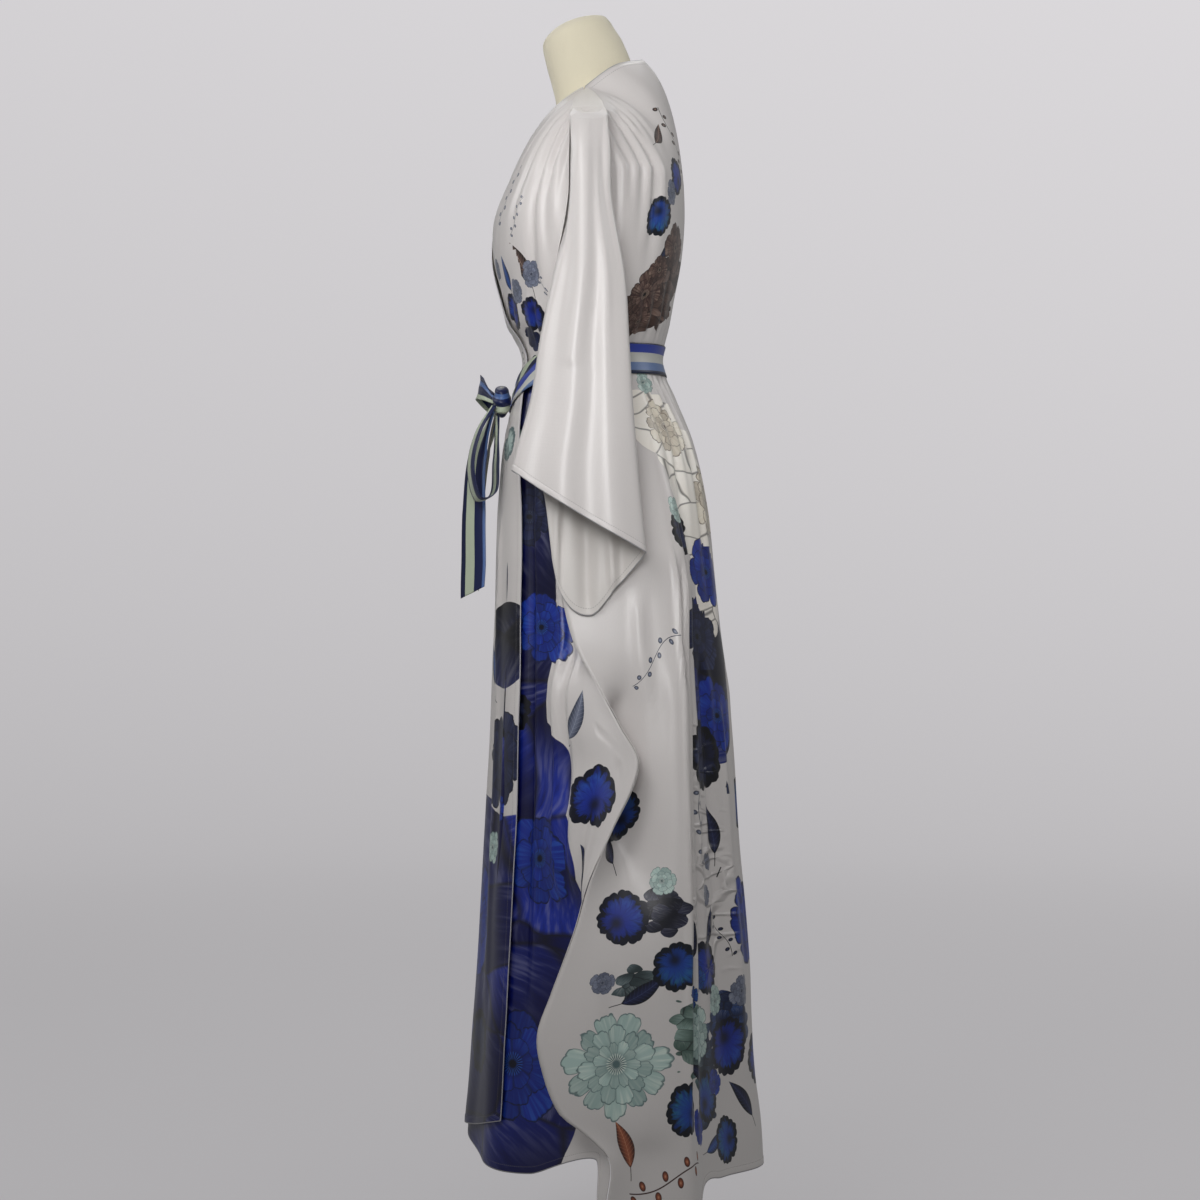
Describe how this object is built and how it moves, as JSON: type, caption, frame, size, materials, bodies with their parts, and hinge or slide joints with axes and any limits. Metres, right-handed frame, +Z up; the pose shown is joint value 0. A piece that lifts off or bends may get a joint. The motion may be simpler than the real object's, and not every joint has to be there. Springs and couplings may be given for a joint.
{
  "type": "kaftan on a dress form",
  "caption": "Long wide-sleeved wrap kaftan in printed satin with a tied ribbon belt, worn by a limbless dress form on a pole and round base.",
  "frame": {"origin": "middle of the base's underside, under the pole", "axes": "+Z up along the pole; the garment's front faces -Y and the wearer's left side is +X"},
  "size_m": [0.5684, 0.4066, 1.6808],
  "materials": {
    "printed_satin": "silver-white satin with printed blooms in blue, navy, teal, sage and cream",
    "plain_satin": "silver-white satin with soft sheen",
    "belt_ribbon": "satin ribbon striped along its length in royal blue, grey-white, steel blue and navy",
    "form_jersey": "cream jersey stretched over a smooth form",
    "stand_steel": "brushed steel"
  },
  "bodies": {
    "root": {"front_left": "printed_satin", "front_right": "printed_satin", "back": "printed_satin", "sleeve_left": "plain_satin", "sleeve_right": "plain_satin", "belt_band": "belt_ribbon", "belt_knot": "belt_ribbon", "belt_loop_left": "belt_ribbon", "belt_loop_right": "belt_ribbon", "belt_tail_left": "belt_ribbon", "belt_tail_right": "belt_ribbon", "form_body": "form_jersey", "stand_pole": "stand_steel", "stand_base": "stand_steel"}
  },
  "joints": []
}
